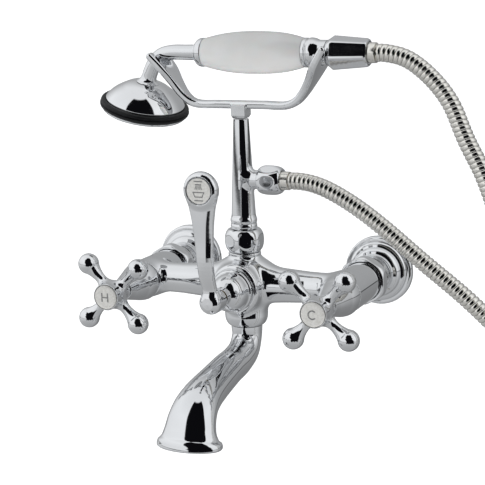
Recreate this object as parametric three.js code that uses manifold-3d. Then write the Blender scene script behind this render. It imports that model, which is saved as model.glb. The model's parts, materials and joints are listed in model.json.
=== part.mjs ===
// Wall mounted bath faucet with a telephone hand shower on a cradle.
// Frame: millimetres, +Z up, +X along the wall, +Y into the wall. The wall's face is y = 0, and the
// origin lies on it, midway between the two supply pipes.
import * as THREE from "three";
import { mergeVertices } from "three/addons/utils/BufferGeometryUtils.js";
import Module from "manifold-3d";

// Driving dimensions
const INLET_CENTRES = 177.8; // distance between the supply pipes, 7 in
const COLUMN_Y = -81.5; // riser, arms and hand shower stand this far in front of the wall
const ARM_Z = 1; // the arms sit a little above the valve axes
const HANDLE_Y = -145.4; // middle plane of the cross handles
const LOBE_REACH = 31.7; // handle axis to the middle of a lobe's ball
const LOBE_RADIUS = 7.8;
const HOT_CROSS_ANGLE = 42.6; // degrees that the closed cross handles stand turned
const COLD_CROSS_ANGLE = 48;
const PADDLE_Z = 91; // diverter axis to the middle of the lever's paddle
const OUTLET_Z = 87.3; // height of the hose outlet on the riser
const BAR_Z = 147.8; // height of the cradle's bar
const HANDSET_Z = 189.3; // height of the hand shower's handle
const HANDSET_ROLL = 8; // degrees that the hand shower leans forward on its cradle
const HOSE_NUT_TURN = -20; // how far the nut on the handset happens to be screwed round
const HEAD_LEAN = 14.6; // degrees between the shower head's axis and the handset's upright
const HEAD_CENTRE = [-89.5, -41.7]; // middle of the bell's rim, from the handset's axis: x, z
const HOSE_RADIUS = 7;

// Facets
const ROUND = 16;
const SMALL = 12;
const CURVE_STEPS = 2;
const WELD = 1e-3;
const QUARTER = Math.PI / 2;

const wasm = await Module();
wasm.setup();

const FINISHES = {
  chrome: { color: 0xdfe2e4, roughness: 0.07, metalness: 1 },
  brass: { color: 0xb9924f, roughness: 0.35, metalness: 1 },
  steel: { color: 0x9fa2a4, roughness: 0.3, metalness: 1 },
  nickel_hose: { color: 0xcfc9bc, roughness: 0.25, metalness: 1 },
  porcelain: { color: 0xf1f1ee, roughness: 0.15, metalness: 0 },
  enamel: { color: 0xd9d8d2, roughness: 0.3, metalness: 0 },
  ceramic: { color: 0xe6e0d2, roughness: 0.4, metalness: 0 },
  rubber: { color: 0x1b1b1c, roughness: 0.55, metalness: 0 },
};

// ---------- shapes ----------

// Leaves only positions, shared between neighbours, with no empty triangles and faces pointing out.
function cleaned(geometry) {
  const bare = geometry.clone();
  bare.deleteAttribute("normal");
  bare.deleteAttribute("uv");
  const merged = mergeVertices(bare, WELD);
  const place = merged.attributes.position;
  const corners = merged.index.array;
  const [a, b, c] = [new THREE.Vector3(), new THREE.Vector3(), new THREE.Vector3()];
  const kept = [];
  let volume = 0;
  for (let i = 0; i < corners.length; i += 3) {
    const [p, q, r] = [corners[i], corners[i + 1], corners[i + 2]];
    if (p === q || q === r || r === p) continue;
    kept.push([p, q, r]);
    a.fromBufferAttribute(place, p);
    b.fromBufferAttribute(place, q);
    c.fromBufferAttribute(place, r);
    volume += a.dot(b.cross(c));
  }
  const turned = volume < 0 ? kept.map(([p, q, r]) => [p, r, q]) : kept;
  merged.setIndex(turned.flat());
  return merged;
}

function toSolid(geometry) {
  const mesh = cleaned(geometry);
  const vertProperties = new Float32Array(mesh.attributes.position.array);
  const triVerts = new Uint32Array(mesh.index.array);
  return new wasm.Manifold(new wasm.Mesh({ numProp: 3, vertProperties, triVerts }));
}

function toGeometry(solid) {
  const { vertProperties, triVerts } = solid.getMesh();
  const geometry = new THREE.BufferGeometry();
  geometry.setAttribute("position", new THREE.BufferAttribute(new Float32Array(vertProperties), 3));
  geometry.setIndex(new THREE.BufferAttribute(new Uint32Array(triVerts), 1));
  return geometry;
}

// Joins the first list of geometries and takes the second list away from the result.
function shaped(joined, cut = []) {
  let solid = toSolid(joined[0]);
  for (const piece of joined.slice(1)) solid = solid.add(toSolid(piece));
  for (const tool of cut) solid = solid.subtract(toSolid(tool));
  return toGeometry(solid);
}

function common(first, second) {
  return toGeometry(toSolid(first).intersect(toSolid(second)));
}

// An outline of [radius, height] points. Four numbers are a curve: its handle, then its end.
function outline(start, ...steps) {
  const path = new THREE.Path();
  path.moveTo(...start);
  for (const step of steps) {
    if (step.length === 2) path.lineTo(...step);
    else path.quadraticCurveTo(...step);
  }
  return path.getPoints(CURVE_STEPS);
}

// Outlines turned about Y, Z or X. A ring's outline closes on itself.
const turnedY = (points, facets = ROUND) => new THREE.LatheGeometry(points, facets);
const turnedZ = (points, facets = ROUND) => turnedY(points, facets).rotateX(QUARTER);
const turnedX = (points, facets = ROUND) => turnedY(points, facets).rotateZ(-QUARTER);
const ring = (start, ...steps) => outline(start, ...steps, start);

// A plain round bar between two heights, about Y.
function bar(radius, low, high, facets = SMALL) {
  return turnedY(outline([0, low], [radius, low], [radius, high], [0, high]), facets);
}

// A six-sided bar about Y, with its flats this far from the axis at each end.
function hexagonal(flatLow, flatHigh, low, high) {
  const corner = 1 / Math.cos(Math.PI / 6);
  return turnedY(outline([0, low], [flatLow * corner, low], [flatHigh * corner, high], [0, high]), 6);
}

// A closed skin over rings of points that all have the same count, with flat ends.
function lofted(rings) {
  const count = rings[0].length;
  const points = rings.flat();
  const faces = [];
  for (let r = 0; r + 1 < rings.length; r++) {
    for (let i = 0; i < count; i++) {
      const [a, b] = [r * count + i, r * count + ((i + 1) % count)];
      faces.push(a, b, a + count, b, b + count, a + count);
    }
  }
  const last = (rings.length - 1) * count;
  for (let i = 1; i + 1 < count; i++) {
    faces.push(0, i + 1, i);
    faces.push(last, last + i, last + i + 1);
  }
  const geometry = new THREE.BufferGeometry();
  geometry.setFromPoints(points);
  geometry.setIndex(faces);
  return geometry;
}

// A rounded section across a path in the YZ plane: half width along X, half depth across the path.
function sectionYZ([y, z, halfWidth, halfDepth], [dy, dz], corner = 2, count = 20) {
  const points = [];
  const size = Math.hypot(dy, dz);
  for (let i = 0; i < count; i++) {
    const turn = (2 * Math.PI * i) / count;
    const [c, s] = [Math.cos(turn), Math.sin(turn)];
    const x = halfWidth * Math.sign(c) * Math.abs(c) ** (2 / corner);
    const across = halfDepth * Math.sign(s) * Math.abs(s) ** (2 / corner);
    points.push(new THREE.Vector3(x, y - (across * dz) / size, z + (across * dy) / size));
  }
  return points;
}

// Sections along a chain of [y, z, halfWidth, halfDepth], smoothed between the given ones.
function sweptYZ(chain, steps, corner, count, shrink = 0) {
  const middle = new THREE.CatmullRomCurve3(chain.map(([y, z]) => new THREE.Vector3(0, y, z)));
  const size = new THREE.CatmullRomCurve3(chain.map(([, , w, d]) => new THREE.Vector3(w, d, 0)));
  const rings = [];
  for (let i = 0; i <= steps; i++) {
    const p = middle.getPoint(i / steps);
    const along = middle.getTangent(i / steps);
    const half = size.getPoint(i / steps);
    const section = [p.y, p.z, half.x - shrink, half.y - shrink];
    rings.push(sectionYZ(section, [along.y, along.z], corner, count));
  }
  return lofted(rings);
}

// A round tube along a path.
function tube(radius, points, steps, facets) {
  const shape = new THREE.Shape();
  for (let i = 0; i < facets; i++) {
    const turn = (2 * Math.PI * i) / facets;
    const [x, y] = [radius * Math.cos(turn), radius * Math.sin(turn)];
    if (i === 0) shape.moveTo(x, y);
    else shape.lineTo(x, y);
  }
  shape.closePath();
  const extrudePath = new THREE.CatmullRomCurve3(points.map((p) => new THREE.Vector3(...p)));
  return new THREE.ExtrudeGeometry(shape, { steps, bevelEnabled: false, extrudePath });
}

// ---------- scene graph ----------

const faucet = new THREE.Group();

function group(parent, [x, y, z]) {
  const made = new THREE.Group();
  made.position.set(x, y, z);
  parent.add(made);
  return made;
}

function piece(parent, name, geometry, finish) {
  const mesh = new THREE.Mesh(cleaned(geometry), new THREE.MeshStandardMaterial(FINISHES[finish]));
  mesh.name = name;
  parent.add(mesh);
  return mesh;
}

// ---------- body casting ----------

const BODY_TAIL_Y = -44.6; // back ends of the valve chambers
const SEAT_Y = -96.2; // where the valve bonnets seat on them
const CHAMBER_RADIUS = 16.3;
const SPIGOT_RADIUS = 13.9;

function valveChamber(x) {
  const shell = outline(
    [0, BODY_TAIL_Y], [CHAMBER_RADIUS, BODY_TAIL_Y], [CHAMBER_RADIUS, SEAT_Y],
    [SPIGOT_RADIUS, SEAT_Y], [SPIGOT_RADIUS, -101], [0, -101]);
  return turnedY(shell).translate(x, 0, 0);
}

function chamberBore(x) {
  const bore = outline([0, -40], [8, -40], [8, -60.4], [12.2, -60.4], [12.2, -103], [0, -103]);
  return turnedY(bore).translate(x, 0, 0);
}

function armShape(side) {
  const half = outline(
    [0, 0], [17, 0], [16, 20], [13.8, 38], [12.6, 58], [12.5, 68], [13.1, 76], [14.4, 84], [14.4, 88.9],
    [0, 88.9]);
  return turnedX(half).scale(side, 1, 1).translate(0, COLUMN_Y, ARM_Z);
}

// The trumpet-shaped neck that spreads from under the riser nut on to the arms.
function trumpet() {
  const bell = outline(
    [0, 8], [40, 12.6], [20.5, 15, 14.8, 21.5], [12.2, 24, 12.6, 26.6], [12.6, 27.4], [0, 27.4]);
  return turnedZ(bell).scale(1, 0.42, 1).translate(0, COLUMN_Y, 0);
}

function bodyColumn() {
  const column = outline(
    [0, -34], [13.4, -34], [17.2, -32.6, 17.8, -26], [18.2, -10], [18.2, 9], [18, 15.5, 13.4, 20.5],
    [12, 23], [12.8, 26.6], [12.8, 27.4], [10.2, 27.4], [10.2, 38.5], [0, 38.5]);
  return turnedZ(column).translate(0, COLUMN_Y, 0);
}

function diverterBoss() {
  return turnedY(outline(
    [0, -72], [14, -72], [20, -80, 21.5, -90], [21.5, -100], [21.2, -105, 18.6, -106.2], [0, -106.2]));
}

function bodyCasting() {
  const half = INLET_CENTRES / 2;
  const cast = [bodyColumn(), trumpet(), diverterBoss()];
  const bores = [bar(13, -108, -70, ROUND)];
  for (const side of [-1, 1]) {
    cast.push(armShape(side), valveChamber(side * half));
    bores.push(chamberBore(side * half));
    bores.push(bar(6.5, 0, half).rotateZ(-side * QUARTER).translate(0, COLUMN_Y, ARM_Z));
  }
  bores.push(bar(7, 0, 40).rotateX(QUARTER).translate(0, COLUMN_Y, 0));
  bores.push(bar(9.9, -35, 0).rotateX(QUARTER).translate(0, COLUMN_Y, 0));
  piece(faucet, "faucet_body", shaped(cast, bores), "chrome");
}

// ---------- wall connections ----------

function wallConnection(side, name) {
  const place = group(faucet, [(side * INLET_CENTRES) / 2, 0, 0]);
  const flange = ring(
    [26.6, 0], [29.4, 0], [29.4, -2.6], [29.4, -5.4, 26.8, -5.4], [25.4, -5.4],
    [25.2, -8.6, 22.6, -9.4], [21.2, -9.8], [20.6, -13, 18.4, -14.6], [16.6, -15.8], [16.2, -21],
    [14.4, -21], [14.4, -17.5], [17, -12.6], [21.5, -7.4], [26.6, -3]);
  piece(place, `${name}_wall_flange`, turnedY(flange), "chrome");
  const union = ring(
    [8.2, 0], [13.6, 0], [13.6, -23.5], [16.4, -24.3], [16.4, -27.6], [15.4, -28.2], [16.4, -28.8],
    [16.4, -32.2], [13.4, -33], [13.4, -38.6], [15.9, -38.6], [15.9, -42.4], [8.2, -42.4]);
  piece(place, `${name}_supply_union`, turnedY(union), "chrome");
  const barrel = outline(
    [0, -35.6], [18.2, -35.6], [20.4, -37.4, 20.4, -41.4], [20.4, -45.6, 18.4, -47.2], [0, -47.2]);
  const bore = outline([0, -34], [13.9, -34], [13.9, -38.3], [16.7, -38.3], [16.7, -48], [0, -48]);
  const nut = common(turnedY(barrel), hexagonal(18.6, 18.6, -48, -35));
  piece(place, `${name}_coupling_nut`, shaped([nut], [turnedY(bore)]), "chrome");
  const washer = ring([8.6, -42.7], [15.4, -42.7], [15.4, -44.3], [8.6, -44.3]);
  piece(place, `${name}_inlet_washer`, turnedY(washer), "rubber");
}

// ---------- valves and their cross handles ----------

function valveDisc(low, high) {
  const ports = [5, -5].map((z) => bar(2.7, low - 1, high + 1, 12).translate(0, 0, z));
  return shaped([bar(9.7, low, high)], ports);
}

function valve(place, name) {
  const bonnet = ring(
    [14.3, -96.6], [16.5, -96.6], [16.6, -98.4], [16, -103.5, 14.2, -109], [12.2, -117, 10, -125],
    [8.8, -131], [6.4, -131], [6.4, -126.5], [8.2, -119], [12.4, -107.5], [13.6, -104.9],
    [14.3, -101.4]);
  piece(place, `${name}_bonnet`, turnedY(bonnet), "chrome");
  const cartridge = ring(
    [10.2, -61], [11.8, -61], [11.8, -101.3], [13.4, -101.3], [13.2, -104.5], [7.4, -104.5],
    [7.4, -117.5], [5.1, -117.5], [5.1, -90], [8.6, -90], [8.6, -71], [10.2, -71]);
  const window = new THREE.BoxGeometry(40, 10, 8).translate(0, -80.5, 0);
  piece(place, `${name}_cartridge`, shaped([turnedY(cartridge, SMALL)], [window]), "brass");
  piece(place, `${name}_fixed_disc`, valveDisc(-65.3, -61.3), "ceramic");
}

function lobe() {
  const path = new THREE.Path();
  path.moveTo(0, 6);
  path.lineTo(5, 6);
  path.quadraticCurveTo(3.7, 13, 3.7, 18.5);
  path.quadraticCurveTo(4, 22.5, 5.5, 26.2);
  path.absarc(0, LOBE_REACH, LOBE_RADIUS, Math.asin(-5.5 / LOBE_RADIUS), QUARTER, false);
  return new THREE.LatheGeometry(path.getPoints(2), 8).rotateX(QUARTER);
}

function crossHandle(crossAngle) {
  const hub = ring(
    [4.4, -131.6], [8.2, -131.6], [8.6, -133], [7.2, -137.5, 8.6, -141], [11, -145.5, 11, -151],
    [11, -157.4], [10.6, -158.4], [10.1, -158.4], [10.1, -154.6], [3.7, -154.6], [3.7, -149.4],
    [1.9, -149.4], [1.9, -142.6], [4.4, -142.6]);
  const lobes = [0, 1, 2, 3].map((quarter) => {
    const turn = THREE.MathUtils.degToRad(crossAngle) + quarter * QUARTER - QUARTER;
    return lobe().rotateY(-turn).translate(0, HANDLE_Y, 0);
  });
  return shaped([turnedY(hub, SMALL), ...lobes], [bar(4.4, -142.6, -131)]);
}

function handle(place, name, crossAngle) {
  const stem = outline(
    [0, -69.9], [7.8, -69.9], [7.8, -73], [4.7, -73], [4.7, -123], [4, -123], [4, -142], [1.8, -142],
    [1.8, -130], [0, -130]);
  piece(place, `${name}_moving_disc`, valveDisc(-69.6, -65.6), "ceramic");
  piece(place, `${name}_stem`, turnedY(stem, SMALL), "brass");
  piece(place, `${name}_cross_handle`, crossHandle(crossAngle), "chrome");
  const screw = outline([0, -152.8], [3.3, -152.8], [3.3, -149.8], [1.5, -149.8], [1.5, -131], [0, -131]);
  piece(place, `${name}_handle_screw`, turnedY(screw, 16), "steel");
  const button = outline([0, -155], [9.7, -155], [9.7, -158.2], [9.5, -159.1, 7.8, -159.3], [0, -159.6]);
  piece(place, `${name}_index_button`, turnedY(button), "enamel");
}

// ---------- diverter ----------

function diverter() {
  const sleeve = ring([9.8, -72], [12.6, -72], [12.6, -91.6], [9.8, -91.6]);
  const ports = [
    new THREE.BoxGeometry(40, 8, 8).translate(0, COLUMN_Y, 0),
    new THREE.BoxGeometry(8, 8, 40).translate(0, COLUMN_Y, 0),
  ];
  piece(faucet, "diverter_sleeve", shaped([turnedY(sleeve, SMALL)], ports), "brass");
  const bonnet = ring(
    [10.4, -92], [12.6, -92], [12.6, -106.5], [17.3, -106.5], [17.6, -108.5], [17.2, -110.4],
    [16.2, -111.1], [15.8, -112.4], [15.2, -121.5, 9.6, -126.4], [7.8, -128], [7.6, -133.4],
    [5, -133.4], [5, -109], [10.4, -109]);
  piece(faucet, "diverter_bonnet", turnedY(bonnet), "chrome");
  const rotor = outline(
    [0, -74], [9.4, -74], [9.4, -90.5], [4.6, -90.5], [4.6, -148.4], [0, -148.4]);
  const passage = new THREE.BoxGeometry(7, 8, 30).translate(0, COLUMN_Y, -8);
  piece(faucet, "diverter_rotor", shaped([turnedY(rotor, SMALL)], [passage]), "brass");
}

function lever() {
  const hub = outline(
    [0, -149], [4.8, -149], [4.8, -137.6], [8.6, -137.6], [9.3, -139], [9.3, -148],
    [9.3, -153.4, 4.6, -155], [0, -155.4]);
  const arm = sweptYZ([
    [-147.8, 5.8, 5.4, 4.4], [-150.4, 13, 5.5, 4.4], [-154.2, 22.5, 5.8, 4.4], [-156.4, 35, 6.3, 4.3],
    [-156.8, 50, 7.2, 4.3], [-157.6, 66, 8.8, 4.4], [-158.4, 82, 12.2, 4.3]], 9, 2.4, 12);
  const paddle = turnedY(outline(
    [0, -153.6], [9, -153.6], [13.6, -154.2, 14.4, -158], [14.4, -163.4, 11.8, -164], [10.9, -164],
    [10.9, -162.8], [0, -162.8])).translate(0, 0, PADDLE_Z);
  const screwHole = bar(2.1, -12, -4).rotateX(QUARTER).translate(0, -145.5, 0);
  piece(faucet, "diverter_lever", shaped([arm, turnedY(hub), paddle], [screwHole]), "chrome");
  const label = outline([0, -163.1], [10.6, -163.1], [10.6, -163.9], [0, -164.1]);
  piece(faucet, "lever_label_disc", turnedY(label).translate(0, 0, PADDLE_Z), "enamel");
  const screw = bar(1.8, -9, -4.9, 12).rotateX(QUARTER).translate(0, -145.5, 0);
  piece(faucet, "lever_set_screw", screw, "steel");
}

// ---------- spout ----------

function spout() {
  const chain = [
    [-81.5, -34.6, 13, 13], [-81.9, -43.5, 12.4, 12.4], [-88.6, -54, 12.8, 12.8],
    [-104.6, -59.6, 13.3, 13.2], [-122.5, -61.6, 13.8, 13.6], [-140.7, -64.6, 14.4, 14],
    [-156, -67.2, 15.3, 14.3], [-170, -70.2, 16.6, 14.4], [-181.5, -75, 18.2, 13.8],
    [-189, -82.5, 19.8, 13.6], [-192.8, -91, 21.6, 14.2], [-194, -96, 24.4, 15.9],
    [-194.4, -98.4, 26.8, 17.6], [-194.7, -103, 26.8, 17.6]];
  const skin = sweptYZ(chain, 15, 2, 16);
  const mouthEnd = [[-194.9, -105.4, 25.6, 16.4]];
  const passage = sweptYZ([[-81.5, -32, 12, 12], ...chain.slice(1), ...mouthEnd], 13, 2, 10, 3);
  const tail = bar(9.5, -36, -20).rotateX(QUARTER).translate(0, COLUMN_Y, 0);
  const tailBore = bar(7, -37, -19).rotateX(QUARTER).translate(0, COLUMN_Y, 0);
  piece(faucet, "spout", shaped([skin, tail], [passage, tailBore]), "chrome");
}

// ---------- riser, hose outlet and cradle ----------

function riser() {
  const place = group(faucet, [0, COLUMN_Y, 0]);
  const barrel = outline(
    [0, 27.8], [12.6, 27.8], [16.1, 30.6, 16.1, 37.4], [16.1, 43.6, 13, 46.4], [0, 46.4]);
  const bore = outline([0, 27], [10.6, 27], [10.6, 42.3], [9.1, 42.3], [9.1, 47], [0, 47]);
  const nut = common(turnedY(barrel), hexagonal(15.1, 15.1, 27, 47));
  piece(place, "riser_coupling_nut", shaped([nut], [turnedY(bore)]).rotateX(QUARTER), "chrome");
  piece(place, "riser_washer", turnedZ(ring([5.4, 38.9], [9.9, 38.9], [9.9, 40.2], [5.4, 40.2])), "rubber");
  const column = turnedZ(outline(
    [0, 94], [4.6, 94], [4.6, 40.5], [10.1, 40.5], [10.1, 42], [8.7, 42], [8.7, 46.9], [10.6, 46.9],
    [11.7, 49, 10.4, 51.3], [11.9, 53.8, 10.3, 56.4], [9.9, 58.5], [6.2, 136.6], [2.9, 136.6],
    [2.9, 142.4], [0, 142.4]));
  const branch = turnedX(outline(
    [0, 0], [10.6, 0], [8.2, 9.5, 7.6, 12.5], [7.6, 15], [8.5, 15], [8.5, 26], [0, 26]), SMALL);
  const branchBore = turnedX(outline([0, 0], [4.6, 0], [4.6, 27], [0, 27]), SMALL);
  const parts = [column, branch.translate(0, 0, OUTLET_Z)];
  piece(place, "riser_column", shaped(parts, [branchBore.translate(0, 0, OUTLET_Z)]), "chrome");
  hoseOutlet(group(place, [0, 0, OUTLET_Z]));
  cradle(place);
}

function hoseOutlet(place) {
  const barrel = outline(
    [0, 15.3], [9.6, 15.3], [12.2, 17.4, 12.2, 24], [12.2, 32.6, 9.4, 34.9], [0, 34.9]);
  const bore = outline([0, 14], [8, 14], [8, 15], [8.8, 15], [8.8, 28.6], [7.9, 28.6], [7.9, 36], [0, 36]);
  const nut = common(turnedY(barrel), hexagonal(11.3, 11.3, 15, 36));
  piece(place, "outlet_hose_nut", shaped([nut], [turnedY(bore)]).rotateZ(-QUARTER), "chrome");
  piece(place, "outlet_washer", turnedX(ring([4.8, 26.3], [8.4, 26.3], [8.4, 27.6], [4.8, 27.6]), SMALL),
    "rubber");
  const ferrule = ring([4.6, 27.9], [8.2, 27.9], [8.2, 28.3], [7.5, 28.3], [7.5, 41.4], [4.6, 41.4]);
  piece(place, "outlet_hose_ferrule", turnedX(ferrule, SMALL), "nickel_hose");
}

// One end of the cradle: a strip that widens as it climbs, later notched into two prongs.
function forkStrip(chain) {
  const path = new THREE.CatmullRomCurve3(chain.map(([x, z]) => new THREE.Vector3(x, 0, z)));
  const size = new THREE.CatmullRomCurve3(chain.map(([, , w, t]) => new THREE.Vector3(w, t, 0)));
  const steps = 9;
  const rings = [];
  for (let i = 0; i <= steps; i++) {
    const middle = path.getPoint(i / steps);
    const along = path.getTangent(i / steps);
    const half = size.getPoint(i / steps);
    const section = sectionYZ([0, 0, half.x, half.y], [0, 1], 3.2, 12);
    rings.push(section.map((p) => new THREE.Vector3(
      middle.x + p.y * along.z, p.x, middle.z - p.y * along.x)));
  }
  return lofted(rings);
}

// The notch that a round handle of this radius lies in, open upwards and cut along X.
function restNotch(radius, fromX, length, drop = 0) {
  const notch = new THREE.Shape();
  notch.moveTo(radius + 3.4, 22);
  notch.lineTo(-radius - 3.4, 22);
  notch.lineTo(-radius, 1);
  notch.absarc(0, 0, radius, Math.PI, 2 * Math.PI, false);
  notch.closePath();
  const cut = new THREE.ExtrudeGeometry(notch, { depth: length, bevelEnabled: false, curveSegments: 8 });
  return cut.rotateX(QUARTER).rotateZ(QUARTER).translate(fromX, 0, HANDSET_Z - drop);
}

function cradle(place) {
  const left = forkStrip([
    [0, BAR_Z, 4.5, 3.3], [-20, BAR_Z, 4.5, 3.3], [-36, BAR_Z, 4.6, 3.3], [-43, 149.6, 5, 3.3],
    [-50, 155.2, 6.2, 3.4], [-57, 165, 8.8, 3.6], [-64, 175.5, 13, 3.6], [-75.5, 188.4, 15.4, 3.2]]);
  const right = forkStrip([
    [0, BAR_Z, 4.5, 3.3], [22, BAR_Z, 4.5, 3.3], [40, BAR_Z, 4.6, 3.3], [49, 151.6, 5, 3.3],
    [55.5, 158.6, 6.4, 3.4], [61.5, 168, 9.6, 3.6], [67.5, 179, 15, 3.6], [77, 194.2, 17.6, 3.2]]);
  const block = lofted([[137, 5.2], [139, 6.2], [BAR_Z, 6.2]].map(([z, half]) => [
    new THREE.Vector3(-half, -half, z), new THREE.Vector3(half, -half, z),
    new THREE.Vector3(half, half, z), new THREE.Vector3(-half, half, z)]));
  const pinHole = turnedZ(outline([0, 136], [3.2, 136], [3.2, 143], [0, 143]), SMALL);
  const notches = [
    restNotch(8, -95, 45, 4.4), restNotch(12.4, 50, 19), restNotch(10.3, 60, 30),
    restNotch(13.8, 73.3, 20)];
  piece(place, "cradle", shaped([left, right, block], [pinHole, ...notches]), "chrome");
}

// ---------- hand shower ----------

function handset() {
  const place = group(faucet, [0, COLUMN_Y, HANDSET_Z]);
  place.rotation.x = THREE.MathUtils.degToRad(HANDSET_ROLL);
  const ferrule = ring(
    [6.5, -38.6], [7.4, -38.6], [7.7, -37], [10.6, -36.2, 11.4, -33.4], [11.6, -32.6], [11.6, -30.4],
    [6.5, -30.4]);
  piece(place, "front_grip_ferrule", turnedX(ferrule), "chrome");
  const grip = ring(
    [5.8, -30.1], [11.3, -30.1], [14.6, -18, 15.8, -7], [17, 3, 16.8, 16], [16.8, 30, 15.2, 41],
    [13.8, 49, 11.4, 56.2], [5.8, 56.2]);
  piece(place, "porcelain_grip", turnedX(grip), "porcelain");
  piece(place, "handle_core_tube", turnedX(ring([4, -30.4], [5.4, -30.4], [5.4, 66], [4, 66]), SMALL), "brass");
  const rear = ring(
    [5.8, 56.5], [11.6, 56.5], [11.6, 59], [10.6, 59.6], [10.6, 60.6], [11.7, 61.2],
    [12, 64.6, 10.8, 67], [10, 68.4, 9.9, 70], [9.9, 75.4], [8, 75.4], [8, 87.5], [4.4, 87.5],
    [4.4, 66.5], [5.8, 66.5]);
  piece(place, "rear_grip_ferrule", turnedX(rear), "chrome");
  handsetHose(place);
  showerHead(place);
}

function handsetHose(place) {
  const cone = outline(
    [0, 75.8], [9.8, 75.8], [13.4, 80.4], [13.4, 82], [11.2, 107.6], [10.4, 109.2], [0, 109.2]);
  const flats = hexagonal(12.4, 9.9, 75, 110);
  const bore = outline([0, 75], [8.4, 75], [8.4, 92.3], [7.7, 92.3], [7.7, 111], [0, 111]);
  const nut = shaped([common(turnedY(cone), flats)], [turnedY(bore)]);
  const turn = THREE.MathUtils.degToRad(HOSE_NUT_TURN);
  piece(place, "handset_hose_nut", nut.rotateZ(-QUARTER).rotateX(turn), "chrome");
  piece(place, "handset_washer", turnedX(ring([4.8, 87.8], [8, 87.8], [8, 89.4], [4.8, 89.4]), SMALL), "rubber");
  const ferrule = ring(
    [4.8, 89.7], [8.1, 89.7], [8.1, 92], [7.4, 92], [7.4, 109.6], [8, 109.9], [8, 115.2], [4.8, 115.2]);
  piece(place, "handset_hose_ferrule", turnedX(ferrule, SMALL), "nickel_hose");
}

// The neck bends from the handle down into the bell; the head's own axis leans by HEAD_LEAN.
function showerHead(place) {
  const bend = [
    [-31, 0, 0], [-46, 0, 0], [-60, 0, -0.2], [-69.5, 0, -2.6], [-76.6, 0, -8.6], [-81.2, 0, -16],
    [-84.7, 0, -24.2]];
  const inner = [[-28, 0, 0], ...bend.slice(1), [-86.2, 0, -29.5]];
  const head = group(place, [HEAD_CENTRE[0], 0, HEAD_CENTRE[1]]);
  head.rotation.y = THREE.MathUtils.degToRad(HEAD_LEAN);
  const collar = turnedZ(outline([0, 17.6], [9.6, 17.6], [9.4, 19], [6.6, 20.6, 6.2, 25], [0, 25]), SMALL);
  collar.rotateY(head.rotation.y).translate(HEAD_CENTRE[0], 0, HEAD_CENTRE[1]);
  const neck = shaped([tube(6.2, bend, 10, 12), collar], [tube(4.2, inner, 10, 8)]);
  piece(place, "shower_neck", neck, "chrome");
  const bell = ring(
    [4.4, 17.2], [9.6, 17.2], [15, 16.4, 20.2, 12.6], [28.6, 7.6, 32.9, 1], [32.8, -0.6], [32.8, -5.6],
    [31, -5.6], [31, -0.4], [26.6, 5.8, 19, 10.6], [14, 13.9, 9, 15.2], [4.4, 15.2]);
  piece(head, "shower_bell", turnedZ(bell), "chrome");
  const bumper = ring(
    [33.1, -0.3], [37.2, -0.3, 37.3, -3.5], [37.3, -6.8, 34.4, -6.9], [33.1, -6.9]);
  piece(head, "rubber_bumper_ring", turnedZ(bumper), "rubber");
  const face = outline(
    [0, -6.6], [28.6, -6.6], [28.6, -1.6], [30.4, -1.6], [30.4, -7.2], [34.6, -7.2], [34.6, -8.6],
    [33.8, -9.3], [28, -9.3], [27, -8.8], [0, -8.8]);
  const holes = [];
  for (const [count, radius] of [[6, 9], [12, 19]]) {
    for (let i = 0; i < count; i++) {
      const turn = (2 * Math.PI * i) / count;
      const hole = turnedZ(outline([0, -10], [0.9, -10], [0.9, -6], [0, -6]), 5);
      holes.push(hole.translate(radius * Math.cos(turn), radius * Math.sin(turn), 0));
    }
  }
  piece(head, "spray_face", shaped([turnedZ(face)], holes), "chrome");
}

// ---------- hose ----------

// The hose leaves the riser, hangs in a long loop beside the faucet and comes back to the handset.
const HOSE_ROUTE = [
  [41.7, -81.5, 87.3], [50, -81.5, 87.3], [62, -81.5, 85.4], [76, -81.5, 80.4], [97, -81.4, 69],
  [117, -81, 55], [150, -80, 28.5], [187, -77, -1.5], [220, -74, -33.5], [252, -71, -71],
  [280, -68, -110], [304, -66, -153], [322, -65, -200], [334, -64, -250], [340, -64, -302],
  [342, -65, -348], [340, -66, -390], [331.8, -70, -424.1], [309.3, -80.8, -449.1],
  [278.5, -95.5, -458.2], [247.8, -110.3, -449.1], [225.2, -121, -424.1], [217, -125, -390],
  [216, -126, -345], [216, -127, -284],
  [219, -126, -220], [223, -124, -154], [227, -120, -92], [228, -113, -34], [225, -106, 18],
  [217, -99, 60], [203, -93, 97], [187, -87.5, 125], [173, -84, 153.5], [157, -82.2, 172],
  [139, -81.5, 184.8], [123, -81.5, 189], [115.5, -81.5, 189.3]];

function hose() {
  piece(faucet, "shower_hose", tube(HOSE_RADIUS, HOSE_ROUTE, 50, 8), "nickel_hose");
}

// ---------- assembly ----------

bodyCasting();
spout();
wallConnection(-1, "left");
wallConnection(1, "right");
for (const [name, side, angle] of [["hot", -1, HOT_CROSS_ANGLE], ["cold", 1, COLD_CROSS_ANGLE]]) {
  const place = group(faucet, [(side * INLET_CENTRES) / 2, 0, 0]);
  valve(place, name);
  handle(place, name, angle);
}
diverter();
lever();
riser();
handset();
hose();

export default faucet;
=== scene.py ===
"""Looks of the wall mounted bath faucet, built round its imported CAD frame.

Lengths below are in millimetres in the part's own frame, and become metres when a mesh is made.
Three kinds of shape are used: turned outlines, skins over sections along a path, and cast shapes, where
rounded solids flow into each other and the surface is found from their blended distances.
"""
import json
import math

import bmesh
import bpy
import numpy as np
from mathutils import Matrix, Vector


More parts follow.
